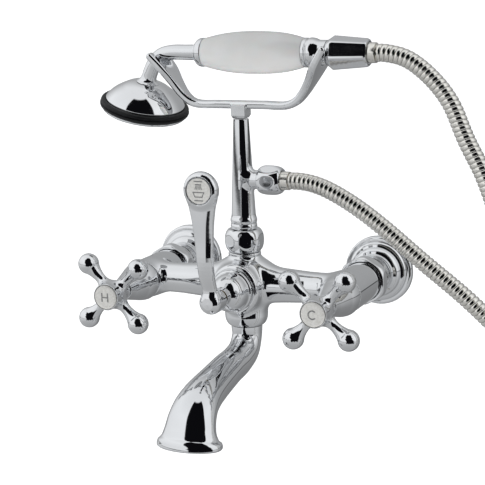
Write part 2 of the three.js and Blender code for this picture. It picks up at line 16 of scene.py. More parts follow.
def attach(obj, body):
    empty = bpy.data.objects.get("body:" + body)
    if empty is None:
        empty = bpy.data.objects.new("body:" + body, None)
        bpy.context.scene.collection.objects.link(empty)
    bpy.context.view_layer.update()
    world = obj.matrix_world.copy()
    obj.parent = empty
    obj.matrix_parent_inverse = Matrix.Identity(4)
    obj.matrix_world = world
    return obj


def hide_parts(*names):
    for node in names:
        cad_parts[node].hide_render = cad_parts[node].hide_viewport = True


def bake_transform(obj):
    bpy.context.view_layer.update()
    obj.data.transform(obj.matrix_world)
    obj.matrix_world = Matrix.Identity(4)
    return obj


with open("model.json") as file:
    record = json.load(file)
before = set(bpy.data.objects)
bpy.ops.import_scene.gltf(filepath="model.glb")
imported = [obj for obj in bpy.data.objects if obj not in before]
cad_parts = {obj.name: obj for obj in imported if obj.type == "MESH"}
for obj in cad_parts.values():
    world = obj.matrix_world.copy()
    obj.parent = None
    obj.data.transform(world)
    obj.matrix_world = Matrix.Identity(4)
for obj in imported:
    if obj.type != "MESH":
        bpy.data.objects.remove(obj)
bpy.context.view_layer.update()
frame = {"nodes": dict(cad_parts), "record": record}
MM = 0.001

# ---------- dimensions shared with the CAD ----------

HALF_CENTRES = 88.9
COLUMN_Y = -81.5
ARM_Z = 1.0
SEAT_Y = -96.2
HANDLE_Y = -145.4
LOBE_REACH = 31.9
LOBE_RADIUS = 8.5
CROSS_ANGLES = {"hot": 42.6, "cold": 48.0}
PADDLE_Z = 91.0
OUTLET_Z = 87.3
BAR_Z = 147.8
HANDSET_Z = 189.3
HANDSET_ROLL = 8.0
HEAD_LEAN = 14.6
HEAD_CENTRE = (-89.5, -41.7)
HOSE_NUT_TURN = -20.0
HOSE_DIAMETER = 14.0
RIB_PITCH = 3.8

HOSE_ROUTE = [
    (41.7, -81.5, 87.3), (50, -81.5, 87.3), (62, -81.5, 85.4), (76, -81.5, 80.4), (97, -81.4, 69),
    (117, -81, 55), (150, -80, 28.5), (187, -77, -1.5), (220, -74, -33.5), (252, -71, -71),
    (280, -68, -110), (304, -66, -153), (322, -65, -200), (334, -64, -250), (340, -64, -302),
    (342, -65, -348), (340, -66, -390), (331.8, -70, -424.1), (309.3, -80.8, -449.1),
    (278.5, -95.5, -458.2), (247.8, -110.3, -449.1), (225.2, -121, -424.1), (217, -125, -390),
    (216, -126, -345), (216, -127, -284), (219, -126, -220), (223, -124, -154), (227, -120, -92),
    (228, -113, -34), (225, -106, 18), (217, -99, 60), (203, -93, 97), (187, -87.5, 125),
    (173, -84, 153.5), (157, -82.2, 172), (139, -81.5, 184.8), (123, -81.5, 189), (115.5, -81.5, 189.3)]

# ---------- camera ----------

CAMERA_AZIMUTH = 24.415
CAMERA_ELEVATION = 11.794
CAMERA_ROLL = -1.680
CAMERA_DISTANCE = 1156.3
CAMERA_TARGET = (-11.65, -60.0, 29.54)
CAMERA_LENS = 102.5


def add_camera():
    az, el, roll = (math.radians(a) for a in (CAMERA_AZIMUTH, CAMERA_ELEVATION, CAMERA_ROLL))
    back = Vector((math.sin(az) * math.cos(el), -math.cos(az) * math.cos(el), math.sin(el)))
    level = Vector((math.cos(az), math.sin(az), 0))
    up = back.cross(level)
    right = level * math.cos(roll) + up * math.sin(roll)
    up = up * math.cos(roll) - level * math.sin(roll)
    place = (Vector(CAMERA_TARGET) + back * CAMERA_DISTANCE) * MM
    data = bpy.data.cameras.new("camera")
    data.lens = CAMERA_LENS
    data.sensor_width = 36
    data.clip_start = 0.01
    data.clip_end = 200
    camera = bpy.data.objects.new("camera", data)
    camera.matrix_world = Matrix.Translation(place) @ Matrix((right, up, back)).transposed().to_4x4()
    bpy.context.scene.collection.objects.link(camera)
    bpy.context.scene.camera = camera


add_camera()

# ---------- outlines and paths ----------

CURVE_STEPS = 12
LEAST_CORNER = 18


def outline(start, *steps):
    """Points along an outline of (radius, height). Four numbers are a curve: its handle, then its end."""
    points = [np.array(start, float)]
    for step in steps:
        if len(step) == 2:
            points.append(np.array(step, float))
            continue
        a, b, c = points[-1], np.array(step[:2], float), np.array(step[2:], float)
        for i in range(1, CURVE_STEPS + 1):
            t = i / CURVE_STEPS
            points.append((1 - t) ** 2 * a + 2 * t * (1 - t) * b + t * t * c)
    return np.array(points)


def eased(points, radius, closed=False):
    """The outline with its corners rounded, as a machined or polished edge is. Turns of less than
    LEAST_CORNER degrees stay, since they are steps of a curve."""
    count = len(points)
    ring = points[:-1] if closed else points
    made = []
    for i, p in enumerate(ring):
        if not closed and i in (0, count - 1):
            made.append(p)
            continue
        a, b = ring[i - 1], ring[(i + 1) % len(ring)]
        la, lb = np.linalg.norm(a - p), np.linalg.norm(b - p)
        if min(la, lb) < 1e-6:
            continue
        turn = math.degrees(math.acos(np.clip(np.dot((p - a) / la, (b - p) / lb), -1, 1)))
        if turn < LEAST_CORNER:
            made.append(p)
            continue
        cut = min(radius * math.tan(math.radians(turn) / 2), 0.42 * la, 0.42 * lb)
        p0, p2 = p + (a - p) / la * cut, p + (b - p) / lb * cut
        for t in (0, 0.25, 0.5, 0.75, 1):
            made.append((1 - t) ** 2 * p0 + 2 * t * (1 - t) * p + t * t * p2)
    if closed:
        made.append(made[0])
    return np.array(made)


def smoothed(points, steps=8):
    """Points along a smooth curve through the given ones. Columns after the third ride along."""
    p = np.array(points, float)
    p = np.vstack([2 * p[0] - p[1], p, 2 * p[-1] - p[-2]])
    made = []
    for i in range(1, len(p) - 2):
        quad = p[i - 1:i + 3]
        d0, d1, d2 = (max(np.linalg.norm(quad[k + 1, :3] - quad[k, :3]) ** 0.5, 1e-3) for k in range(3))
        a, b, c, d = quad
        t1 = ((b - a) / d0 - (c - a) / (d0 + d1) + (c - b) / d1) * d1
        t2 = ((c - b) / d1 - (d - b) / (d1 + d2) + (d - c) / d2) * d1
        for t in np.arange(steps) / steps:
            made.append((2 * t**3 - 3 * t**2 + 1) * b + (t**3 - 2 * t**2 + t) * t1
                        + (3 * t**2 - 2 * t**3) * c + (t**3 - t**2) * t2)
    made.append(p[-2])
    return np.array(made)


def respaced(points, step):
    """The same line with evenly spaced points."""
    along = np.concatenate([[0], np.cumsum(np.linalg.norm(np.diff(points[:, :3], axis=0), axis=1))])
    count = max(2, int(round(along[-1] / step)) + 1)
    at = np.linspace(0, along[-1], count)
    return np.stack([np.interp(at, along, column) for column in points.T], 1)


# ---------- meshes ----------

def mesh_object(name, points, faces, move=None, sharp=35, normals=None):
    points = np.asarray(points, float)
    mesh = bpy.data.meshes.new(name)
    mesh.from_pydata((points * MM).tolist(), [], [tuple(f) for f in np.asarray(faces, object)])
    mesh.validate()
    mesh.polygons.foreach_set("use_smooth", [True] * len(mesh.polygons))
    if normals is not None:
        mesh.normals_split_custom_set_from_vertices(normals.tolist())
    elif sharp:
        mesh.set_sharp_from_angle(angle=math.radians(sharp))
    made = bpy.data.objects.new(name, mesh)
    if move is not None:
        scaled = move.copy()
        scaled.translation = move.translation * MM
        mesh.transform(scaled)
    bpy.context.scene.collection.objects.link(made)
    return made


def gridded(rings, closed=False):
    """Points and faces of a skin over equal rings, with its ends capped unless it closes on itself."""
    rings = np.asarray(rings, float)
    rows, columns = rings.shape[:2]
    points = rings.reshape(-1, 3)
    faces = []
    for r in range(rows if closed else rows - 1):
        for c in range(columns):
            a, b = r * columns + c, r * columns + (c + 1) % columns
            n = ((r + 1) % rows) * columns
            faces.append((a, b, n + (c + 1) % columns, n + c))
    if not closed:
        faces.append(tuple(range(columns - 1, -1, -1)))
        faces.append(tuple(range((rows - 1) * columns, rows * columns)))
    return points, faces


FLAT_BLEND = 0.7
PLACERS = {
    "Y": lambda r, h, s, c: (r * s, h, r * c),
    "Z": lambda r, h, s, c: (r * s, -r * c, h),
    "X": lambda r, h, s, c: (h, -r * s, r * c),
}


def turned(name, points, axis, centre=(0, 0, 0), facets=96, move=None, edge=0.35, flats=None):
    """An outline turned about an axis, with its corners eased by the radius edge. flats cuts six flats:
    (distance from the axis at low, the same at high, low, high)."""
    closed = bool(np.allclose(points[0], points[-1]))
    points = eased(points, edge, closed) if edge else points
    if closed:
        points = points[:-1]
    angles = np.linspace(0, 2 * math.pi, facets, endpoint=False)
    sine, cosine = np.sin(angles), np.cos(angles)
    rings = []
    for r, h in points:
        radius = np.full(facets, max(r, 1e-4))
        if flats:
            near, far, low, high = flats
            reach = near + (far - near) * np.clip((h - low) / (high - low), 0, 1)
            side = reach / np.cos(np.mod(angles, math.pi / 3) - math.pi / 6)
            radius = smooth_min(radius, side, FLAT_BLEND)
        rings.append(np.stack(np.broadcast_arrays(*PLACERS[axis](radius, h, sine, cosine)), 1))
    points, faces = gridded(rings, closed)
    points = points + np.array(centre)
    made = mesh_object(name, points, faces, move)
    outward(made.data)
    return made


def outward(mesh):
    """Turns a closed mesh's faces to point out."""
    work = bmesh.new()
    work.from_mesh(mesh)
    bmesh.ops.remove_doubles(work, verts=work.verts, dist=2e-7)
    bmesh.ops.recalc_face_normals(work, faces=work.faces)
    work.to_mesh(mesh)
    work.free()
    mesh.update()


def frames_along(line):
    """Tangents and two steady cross directions along a line."""
    tangents = np.gradient(line, axis=0)
    tangents /= np.linalg.norm(tangents, axis=1)[:, None]
    start = np.cross(tangents[0], (0, 1, 0))
    if np.linalg.norm(start) < 0.1:
        start = np.cross(tangents[0], (1, 0, 0))
    across = [start / np.linalg.norm(start)]
    for t in tangents[1:]:
        a = across[-1] - t * np.dot(across[-1], t)
        across.append(a / np.linalg.norm(a))
    across = np.array(across)
    return tangents, across, np.cross(tangents, across)


def round_sections(line, facets):
    """The angles round a tube, and at each point of its line the unit directions at those angles."""
    _, across, other = frames_along(line)
    angles = np.linspace(0, 2 * math.pi, facets, endpoint=False)
    unit = across[:, None] * np.cos(angles)[None, :, None] + other[:, None] * np.sin(angles)[None, :, None]
    return angles, unit


def swept(name, line, radii, facets, move, sharp):
    """A round bar along a line, of a radius at each of its points."""
    _, unit = round_sections(line, facets)
    points, faces = gridded(line[:, None] + unit * np.asarray(radii)[:, None, None])
    made = mesh_object(name, points, faces, move, sharp)
    outward(made.data)
    return made


# ---------- cast shapes ----------

def smooth_min(a, b, k):
    h = np.clip(0.5 + 0.5 * (b - a) / k, 0, 1)
    return b + (a - b) * h - k * h * (1 - h)


def smooth_max(a, b, k):
    return -smooth_min(-a, -b, k)


def turned_field(points):
    """Signed distance, from radius and height, to the solid that an outline makes when turned."""
    pairs = list(zip(points[:-1], points[1:]))

    def field(r, h):
        nearest = np.full(r.shape, 1e9)
        inside = np.zeros(r.shape, bool)
        for (r0, h0), (r1, h1) in pairs:
            er, eh = r1 - r0, h1 - h0
            if er * er + eh * eh < 1e-12:
                continue
            wr, wh = r - r0, h - h0
            if abs(r0) > 1e-9 or abs(r1) > 1e-9:
                t = np.clip((wr * er + wh * eh) / (er * er + eh * eh), 0, 1)
                nearest = np.minimum(nearest, (wr - er * t) ** 2 + (wh - eh * t) ** 2)
            if abs(eh) > 1e-9:
                inside ^= ((h0 > h) != (h1 > h)) & (r < er * (h - h0) / eh + r0)
        return np.where(inside, -1, 1) * np.sqrt(nearest)

    return field


def strip(points):
    """The smooth middle line of a strip: u, v, half width along w, and half thickness."""
    return smoothed([(u, v, 0, width, thick) for u, v, width, thick in points], 4)[:, (0, 1, 3, 4)]


def strip_field(line, u, v, w, rounding, crown):
    """Signed distance to a strip that follows a line in the (u, v) plane. Crown is the share of its
    thickness that its sides are thinner by than its middle."""
    best = np.full(u.shape, 1e9)
    width = np.zeros(u.shape)
    thick = np.zeros(u.shape)
    for a, b in zip(line[:-1], line[1:]):
        e = b[:2] - a[:2]
        t = np.clip(((u - a[0]) * e[0] + (v - a[1]) * e[1]) / np.dot(e, e), 0, 1)
        d = (u - a[0] - e[0] * t) ** 2 + (v - a[1] - e[1] * t) ** 2
        near = d < best
        best = np.where(near, d, best)
        width = np.where(near, a[2] + (b[2] - a[2]) * t, width)
        thick = np.where(near, a[3] + (b[3] - a[3]) * t, thick)
    corner = np.minimum(rounding, thick * 0.95)
    qa = np.sqrt(best) + crown * thick * np.minimum(w / width, 1) ** 2 - thick + corner
    qb = np.abs(w) - width + corner
    outside = np.hypot(np.maximum(qa, 0), np.maximum(qb, 0))
    return outside + np.minimum(np.maximum(qa, qb), 0) - corner


SETTLING_ROUNDS = 4
SLOPE_REACH = 0.03


def cast(name, field, low, high, step, move=None):
    """The surface where a field is zero, as a fine quad mesh whose normals come from the field."""
    axes = [np.arange(a, b + step, step) for a, b in zip(low, high)]
    shape = tuple(len(a) for a in axes)
    grid = np.stack(np.meshgrid(*axes, indexing="ij"), -1).reshape(-1, 3)
    values = np.concatenate([field(part) for part in np.array_split(grid, 8)]).reshape(shape)
    inside = values < 0
    corners = [(i, j, k) for i in (0, 1) for j in (0, 1) for k in (0, 1)]
    count = sum(inside[i:shape[0] - 1 + i, j:shape[1] - 1 + j, k:shape[2] - 1 + k].astype(np.int8)
                for i, j, k in corners)
    active = (count > 0) & (count < 8)
    index = np.full(active.shape, -1)
    index[active] = np.arange(active.sum())
    cells = np.argwhere(active)
    total, crossings = np.zeros((len(cells), 3)), np.zeros(len(cells))
    for a in corners:
        for axis in range(3):
            if a[axis]:
                continue
            b = list(a)
            b[axis] = 1
            fa, fb = values[tuple((cells + a).T)], values[tuple((cells + b).T)]
            cross = (fa < 0) != (fb < 0)
            at = np.tile(np.array(a, float), (len(cells), 1))
            at[:, axis] += np.where(cross, fa / np.where(cross, fa - fb, 1), 0)
            total += at * cross[:, None]
            crossings += cross
    points = np.array(low) + step * (cells + total / crossings[:, None])
    quads = []
    for axis, (u, v) in enumerate(((1, 2), (2, 0), (0, 1))):
        first, second = [slice(None)] * 3, [slice(None)] * 3
        first[axis], second[axis] = slice(0, -1), slice(1, None)
        edges = np.argwhere(inside[tuple(first)] != inside[tuple(second)])
        edges = edges[(edges[:, u] > 0) & (edges[:, v] > 0)
                      & (edges[:, u] < shape[u] - 1) & (edges[:, v] < shape[v] - 1)]
        around = []
        for du, dv in ((0, 0), (1, 0), (1, 1), (0, 1)):
            cell = edges.copy()
            cell[:, u] -= du
            cell[:, v] -= dv
            around.append(index[tuple(cell.T)])
        quad = np.stack(around, 1)
        quads.append(np.where(inside[tuple(edges.T)][:, None], quad, quad[:, ::-1]))
    for _ in range(SETTLING_ROUNDS):
        slope = gradient(field, points)
        size = np.maximum((slope * slope).sum(1), 0.2)
        move_by = np.clip(field(points) / size, -0.6 * step, 0.6 * step)
        points = points - move_by[:, None] * slope
    slope = gradient(field, points)
    normals = slope / np.maximum(np.linalg.norm(slope, axis=1), 1e-6)[:, None]
    return mesh_object(name, points, np.concatenate(quads), move, None, normals)


def gradient(field, points):
    parts = []
    for axis in range(3):
        shift = np.zeros(3)
        shift[axis] = SLOPE_REACH
        parts.append((field(points + shift) - field(points - shift)) / (2 * SLOPE_REACH))
    return np.stack(parts, 1)


# ---------- materials ----------

NOISE_LOW, NOISE_HIGH = 0.3, 0.7


class Finish:
    """A material built round one Principled shader, with texture in the object's own space."""

    def __init__(self, name, color, metallic, roughness, **extra):
        self.material = bpy.data.materials.new(name)
        self.material.use_nodes = True
        self.material.diffuse_color = (*color, 1)
        self.tree = self.material.node_tree
        self.shader = self.tree.nodes["Principled BSDF"]
        self.shader.inputs["Base Color"].default_value = (*color, 1)
        self.shader.inputs["Metallic"].default_value = metallic
        self.shader.inputs["Roughness"].default_value = roughness
        for key, value in extra.items():
            self.shader.inputs[key.replace("_", " ")].default_value = value
        self.place = self.tree.nodes.new("ShaderNodeTexCoord").outputs["Object"]

    def link(self, a, b):
        self.tree.links.new(a, b)

    def noise(self, scale, detail, stretch=None):
        node = self.tree.nodes.new("ShaderNodeTexNoise")
        node.inputs["Scale"].default_value = scale
        node.inputs["Detail"].default_value = detail
        place = self.place
        if stretch:
            mapping = self.tree.nodes.new("ShaderNodeMapping")
            mapping.inputs["Scale"].default_value = stretch
            self.link(place, mapping.inputs["Vector"])
            place = mapping.outputs["Vector"]
        self.link(place, node.inputs["Vector"])
        return node.outputs["Fac"]

    def spread(self, value, low, high):
        node = self.tree.nodes.new("ShaderNodeMapRange")
        limits = (("From Min", NOISE_LOW), ("From Max", NOISE_HIGH), ("To Min", low), ("To Max", high))
        for key, number in limits:
            node.inputs[key].default_value = number
        self.link(value, node.inputs["Value"])
        return node.outputs["Result"]

    def rough(self, value, low, high):
        self.link(self.spread(value, low, high), self.shader.inputs["Roughness"])
        return self

    def tinted(self, value, low, high, start=NOISE_LOW, end=NOISE_HIGH):
        ramp = self.tree.nodes.new("ShaderNodeValToRGB")
        ramp.color_ramp.elements[0].position = start
        ramp.color_ramp.elements[0].color = (*low, 1)
        ramp.color_ramp.elements[1].position = end
        ramp.color_ramp.elements[1].color = (*high, 1)
        self.link(value, ramp.inputs["Fac"])
        self.link(ramp.outputs["Color"], self.shader.inputs["Base Color"])
        return self

    def bumped(self, value, strength, distance):
        node = self.tree.nodes.new("ShaderNodeBump")
        node.inputs["Strength"].default_value = strength
        node.inputs["Distance"].default_value = distance
        self.link(value, node.inputs["Height"])
        self.link(node.outputs["Normal"], self.shader.inputs["Normal"])
        return self

    def attribute(self, name):
        node = self.tree.nodes.new("ShaderNodeAttribute")
        node.attribute_name = name
        return node.outputs["Fac"]


def chrome_finish():
    made = Finish("polished_chrome", (0.80, 0.81, 0.825), 1.0, 0.05)
    made.rough(made.noise(60, 4), 0.03, 0.075)
    made.tinted(made.noise(22, 2), (0.775, 0.785, 0.80), (0.83, 0.835, 0.845))
    made.bumped(made.noise(140, 2), 0.02, 0.0004)
    return made.material


def brass_finish():
    made = Finish("turned_brass", (0.72, 0.53, 0.25), 1.0, 0.3)
    made.tinted(made.noise(90, 4), (0.60, 0.43, 0.19), (0.78, 0.60, 0.31))
    made.rough(made.noise(500, 2, stretch=(1, 12, 1)), 0.22, 0.42)
    made.bumped(made.noise(900, 2, stretch=(0.2, 8, 0.2)), 0.08, 0.0002)
    return made.material


def steel_finish():
    made = Finish("screw_steel", (0.52, 0.53, 0.54), 1.0, 0.3)
    made.tinted(made.noise(300, 3), (0.42, 0.43, 0.44), (0.60, 0.61, 0.62))
    made.rough(made.noise(700, 2), 0.2, 0.42)
    return made.material


def hose_finish_with_painted_groove_shade():
    made = Finish("hose_strip", (0.83, 0.81, 0.76), 1.0, 0.2)
    # painted shade: the "groove" attribute darkens the base colour to near black in the hose's grooves, where
    # shade falls
    made.tinted(made.attribute("groove"), (0.84, 0.82, 0.77), (0.10, 0.09, 0.08), 0.4, 1.0)
    made.rough(made.noise(420, 3), 0.10, 0.20)
    made.bumped(made.noise(1500, 2), 0.04, 0.0002)
    return made.material


def porcelain_finish():
    made = Finish("glazed_porcelain", (0.74, 0.74, 0.73), 0.0, 0.12, Coat_Weight=0.6, Coat_Roughness=0.04,
                  Subsurface_Weight=0.12, Subsurface_Scale=0.004)
    made.tinted(made.noise(45, 4), (0.715, 0.715, 0.70), (0.765, 0.765, 0.76))
    made.bumped(made.noise(70, 2), 0.03, 0.0006)
    made.rough(made.noise(160, 3), 0.09, 0.17)
    return made.material


def enamel_finish():
    made = Finish("button_enamel", (0.72, 0.71, 0.68), 0.0, 0.3, Coat_Weight=0.3, Coat_Roughness=0.1)
    made.tinted(made.noise(700, 4), (0.62, 0.61, 0.575), (0.76, 0.75, 0.725))
    made.rough(made.noise(500, 2), 0.24, 0.4)
    made.bumped(made.noise(1600, 3), 0.12, 0.0003)
    return made.material


def mark_finish():
    made = Finish("mark_paint", (0.20, 0.20, 0.20), 0.0, 0.45)
    made.tinted(made.noise(900, 3), (0.15, 0.15, 0.15), (0.27, 0.27, 0.27))
    return made.material


def ceramic_finish():
    made = Finish("valve_ceramic", (0.82, 0.79, 0.71), 0.0, 0.35)
    made.tinted(made.noise(400, 4), (0.78, 0.75, 0.66), (0.86, 0.83, 0.76))
    made.rough(made.noise(800, 2), 0.3, 0.42)
    return made.material


def rubber_finish():
    made = Finish("black_rubber", (0.007, 0.007, 0.008), 0.0, 0.42, Specular_IOR_Level=0.25)
    made.tinted(made.noise(500, 4), (0.004, 0.004, 0.005), (0.010, 0.010, 0.011))
    made.rough(made.noise(900, 3), 0.34, 0.55)
    made.bumped(made.noise(2200, 3), 0.15, 0.0002)
    return made.material


CHROME, BRASS, STEEL, HOSE = chrome_finish(), brass_finish(), steel_finish(), hose_finish_with_painted_groove_shade()
PORCELAIN, ENAMEL, MARK = porcelain_finish(), enamel_finish(), mark_finish()
CERAMIC, RUBBER = ceramic_finish(), rubber_finish()
SLOT_FINISHES = {
    "chrome": CHROME, "brass": BRASS, "steel": STEEL, "hose_strip": HOSE, "porcelain": PORCELAIN,
    "enamel": ENAMEL, "ceramic": CERAMIC, "rubber": RUBBER}

for entry in frame["record"]["subparts"]:
    node = frame["nodes"][entry["node"]]
    node.data.materials.clear()
    node.data.materials.append(SLOT_FINISHES[entry["material_slot"]])


def fitted(made, body, slot, *nodes, finish=None):
    """Gives a piece its finish and its body, and hides the CAD nodes that it stands for."""
    made.data.materials.clear()
    made.data.materials.append(finish or SLOT_FINISHES[slot])
    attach(made, body)
    if nodes:
        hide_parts(*nodes)
    return made


# ---------- hose ----------

HOSE_FACETS = 22
RIB_SHARE, GROOVE_SHARE = 0.7, 0.3
RIB_CROWN = 0.2
GROOVE_DEPTH = 0.8
PLAIN_END, PLAIN_RADIUS = 1.2, 6.6


def add_hose():
    """The hose of one strip wound in a spiral, whose edges meet in a groove; painted shade darkens the hose's
    colour along the groove.
    """
    line = respaced(smoothed(HOSE_ROUTE, 24), RIB_PITCH / 10)
    along = np.concatenate([[0], np.cumsum(np.linalg.norm(np.diff(line, axis=0), axis=1))])
    angles, unit = round_sections(line, HOSE_FACETS)
    phase = np.mod(along[:, None] / RIB_PITCH + angles[None, :] / (2 * math.pi), 1)
    rib = np.abs(2 * phase - 1)
    groove = np.clip((rib - RIB_SHARE) / GROOVE_SHARE, 0, 1)
    crown = RIB_CROWN * (1 - np.clip(rib / RIB_SHARE, 0, 1) ** 4)
    radius = HOSE_DIAMETER / 2 - RIB_CROWN + crown - GROOVE_DEPTH * groove
    ends = np.minimum(along, along[-1] - along)
    radius = np.where(ends[:, None] < PLAIN_END, np.minimum(radius, PLAIN_RADIUS), radius)
    points, faces = gridded(line[:, None] + unit * radius[:, :, None])
    made = mesh_object("ribbed_hose", points, faces, None, None)
    outward(made.data)
    # the "groove" attribute carries painted shade: 0 on the ribs, up to 1 deep in the groove, where the
    # hose's colour is painted dark
    attribute = made.data.attributes.new("groove", "FLOAT", "POINT")
    values = np.zeros(len(made.data.vertices))
    values[:groove.size] = groove.reshape(-1)[:len(values)]
    attribute.data.foreach_set("value", values.astype(np.float32))
    made.data.materials.append(HOSE)
    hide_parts("shower_hose")
    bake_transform(made)


add_hose()

# ---------- body casting ----------

BODY_TOP = 27.4
MIDDLE_BLEND, MIDDLE_BLEND_ADDED = 10, 6
BLEND_FROM, BLEND_TO = -4, 12
BOSS_BLEND, CHAMBER_BLEND = 3.5, 8
CHAMBERS_FROM = 45
COLUMN = outline(
    (0, -34), (13.6, -34), (17.2, -32.6, 17.8, -26), (18.2, -10), (18.2, 9), (18, 15.5, 13.6, 20.5),
    (11.9, 23, 11.9, 25), (12.7, 26.2), (12.7, BODY_TOP), (0, BODY_TOP))
ARM = outline((0, 0), (16.2, 0), (15.6, 18), (14, 36), (12.7, 56), (12.5, 68), (12.6, 88.9), (0, 88.9))
CHAMBER = outline((0, -44.6), (16.3, -44.6), (16.3, -95.6), (16.3, -96.2, 15.7, -96.2), (0, -96.2))
BOSS = outline(
    (0, -70), (14, -70), (20.6, -79, 21.5, -90), (21.5, -100), (21.3, -105.4, 18.4, -106.2), (0, -106.2))


def body_field():
    """The arms flow into the column more softly above than below; the chambers and the boss stay crisper."""
    column, arm, chamber, boss = (turned_field(o) for o in (COLUMN, ARM, CHAMBER, BOSS))

    def field(p):
        x, y, z = p.T
        depth = y - COLUMN_Y
        reach = np.abs(x)
        rise = np.clip((z - BLEND_FROM) / (BLEND_TO - BLEND_FROM), 0, 1)
        blend = MIDDLE_BLEND + MIDDLE_BLEND_ADDED * rise * rise * (3 - 2 * rise)
        middle = smooth_min(column(np.hypot(x, depth), z), arm(np.hypot(depth, z - ARM_Z), reach), blend)
        middle = smooth_min(middle, boss(np.hypot(x, z), y), BOSS_BLEND)
        ends = smooth_min(middle, chamber(np.hypot(reach - HALF_CENTRES, z), y), CHAMBER_BLEND)
        ends = smooth_max(ends, SEAT_Y - y, 0.6)
        whole = np.where(reach > CHAMBERS_FROM, ends, middle)
        return smooth_max(whole, z - BODY_TOP, 0.5)

    return field


fitted(cast("body_casting", body_field(), low=(-107, -108, -36), high=(107, -42, 29), step=0.9),
       "faucet", "chrome", "faucet_body")

# ---------- wall connections ----------

FLANGE = outline(
    (26.6, 0), (29.4, 0), (29.4, -2.6), (29.4, -5.4, 26.8, -5.4), (25.4, -5.4), (25.2, -8.6, 22.6, -9.4),
    (21.2, -9.8), (20.6, -13, 18.4, -14.6), (16.6, -15.8), (16.2, -21), (14.4, -21), (14.4, -17.5),
    (17, -12.6), (21.5, -7.4), (26.6, -3), (26.6, 0))
UNION = outline(
    (8.2, 0), (13.6, 0), (13.6, -23.5), (16.4, -24.3), (16.4, -27.6), (15.4, -28.2), (16.4, -28.8),
    (16.4, -32.2), (13.4, -33), (13.4, -38.6), (15.9, -38.6), (15.9, -42.4), (8.2, -42.4), (8.2, 0))
COUPLING = outline(
    (13.9, -35.6), (18.2, -35.6), (20.4, -37.4, 20.4, -41.4), (20.4, -45.6, 18.4, -47.2), (16.7, -47.2),
    (16.7, -38.3), (13.9, -38.3), (13.9, -35.6))
COUPLING_FLATS = (18.6, 18.6, -48, -35)


def add_wall_connection(side, name):
    centre = (side * HALF_CENTRES, 0, 0)
    flange = turned(f"{name}_flange_shell", FLANGE, "Y", centre, facets=128)
    fitted(flange, "faucet", "chrome", f"{name}_wall_flange")
    fitted(turned(f"{name}_union_shell", UNION, "Y", centre), "faucet", "chrome", f"{name}_supply_union")
    nut = turned(f"{name}_coupling_shell", COUPLING, "Y", centre, facets=180, flats=COUPLING_FLATS)
    fitted(nut, "faucet", "chrome", f"{name}_coupling_nut")


add_wall_connection(-1, "left")
add_wall_connection(1, "right")

# ---------- valves and cross handles ----------

BONNET = outline(
    (14.3, -96.6), (16.4, -96.6), (16.6, -98.2), (16, -103.5, 14.2, -109), (12.2, -117, 10, -125),
    (8.9, -130), (8.7, -131), (6.4, -131), (6.4, -126.5), (8.2, -119), (12.4, -107.5), (13.6, -104.9),
    (14.3, -101.4), (14.3, -96.6))
CUP_RADIUS, CUP_FLOOR = 10.1, -156.6
HUB = outline(
    (0, -131.6), (8.2, -131.6), (8.6, -133), (7.2, -137.5, 8.6, -141), (11, -145.5, 11, -151),
    (11, -157.4), (10.9, -158.4, 10.4, -158.4), (CUP_RADIUS, -158.2), (CUP_RADIUS, CUP_FLOOR), (0, CUP_FLOOR))
BUTTON = outline(
    (0, -156.2), (9.7, -156.2), (9.7, -158.2), (9.5, -159.1, 7.8, -159.3), (3, -159.55, 0, -159.6))
LETTER_FRONT = -159.66
LOBE_FOOT = 5.3
LOBE_STEPS = 16
MARK_THICKNESS = 0.3


def lobe_outline():
    """One arm's outline along its length: a waisted neck, then a ball from LOBE_FOOT below its centre."""
    points = list(outline((0, 4), (5.4, 4), (4.2, 12, 4.2, 17.6), (4.6, 22.4, 6.6, 26.6)))
    for i in range(1, LOBE_STEPS + 1):
        turn = math.asin(-LOBE_FOOT / LOBE_RADIUS) * (1 - i / LOBE_STEPS) + math.pi / 2 * i / LOBE_STEPS
        points.append(np.array((LOBE_RADIUS * math.cos(turn), LOBE_REACH + LOBE_RADIUS * math.sin(turn))))
    return np.array(points)


def handle_field(angle):
    hub, lobe = turned_field(HUB), turned_field(lobe_outline())
    c, s = math.cos(math.radians(angle)), math.sin(math.radians(angle))

    def field(p):
        x, y, z = p.T
        u, v = np.abs(x * c + z * s), np.abs(z * c - x * s)
        lift = y - HANDLE_Y
        arms = smooth_min(lobe(np.hypot(v, lift), u), lobe(np.hypot(u, lift), v), 5)
        outer = smooth_min(hub(np.hypot(x, z), y), arms, 6)
        cup = np.maximum(np.hypot(x, z) - CUP_RADIUS, y - CUP_FLOOR)
        return smooth_max(outer, -cup, 0.4)

    return field


def letter_strokes(name):
    """Outlines of the plain capitals H and C, about 8 mm high, as (x, z) polygons."""
    if name == "hot":
        return [[(-3.1, -3.6), (-2.1, -3.6), (-2.1, 3.6), (-3.1, 3.6)],
                [(2.1, -3.6), (3.1, -3.6), (3.1, 3.6), (2.1, 3.6)],
                [(-2.1, -0.5), (2.1, -0.5), (2.1, 0.5), (-2.1, 0.5)]]
    arc = [math.radians(45 + 270 * i / 28) for i in range(29)]
    return [[(3.7 * math.cos(a), 3.7 * math.sin(a)) for a in arc]
            + [(2.7 * math.cos(a), 2.7 * math.sin(a)) for a in reversed(arc)]]


def add_marks(name, strokes, centre, front):
    """Thin raised strokes of paint on a face that looks along -Y."""
    points, faces = [], []
    for stroke in strokes:
        n, base = len(stroke), len(points)
        for y in (front, front + MARK_THICKNESS):
            points += [(centre[0] + x, y, centre[1] + z) for x, z in stroke]
        if n == 4:
            faces += [tuple(base + i for i in range(4)), tuple(base + n + i for i in range(3, -1, -1))]
        else:
            for i in range(n // 2 - 1):
                quad = (i, i + 1, n - 2 - i, n - 1 - i)
                faces += [tuple(base + q for q in quad), tuple(base + n + q for q in reversed(quad))]
        faces += [(base + i, base + n + i, base + n + (i + 1) % n, base + (i + 1) % n) for i in range(n)]
    made = mesh_object(name, points, faces)
    outward(made.data)
    return made


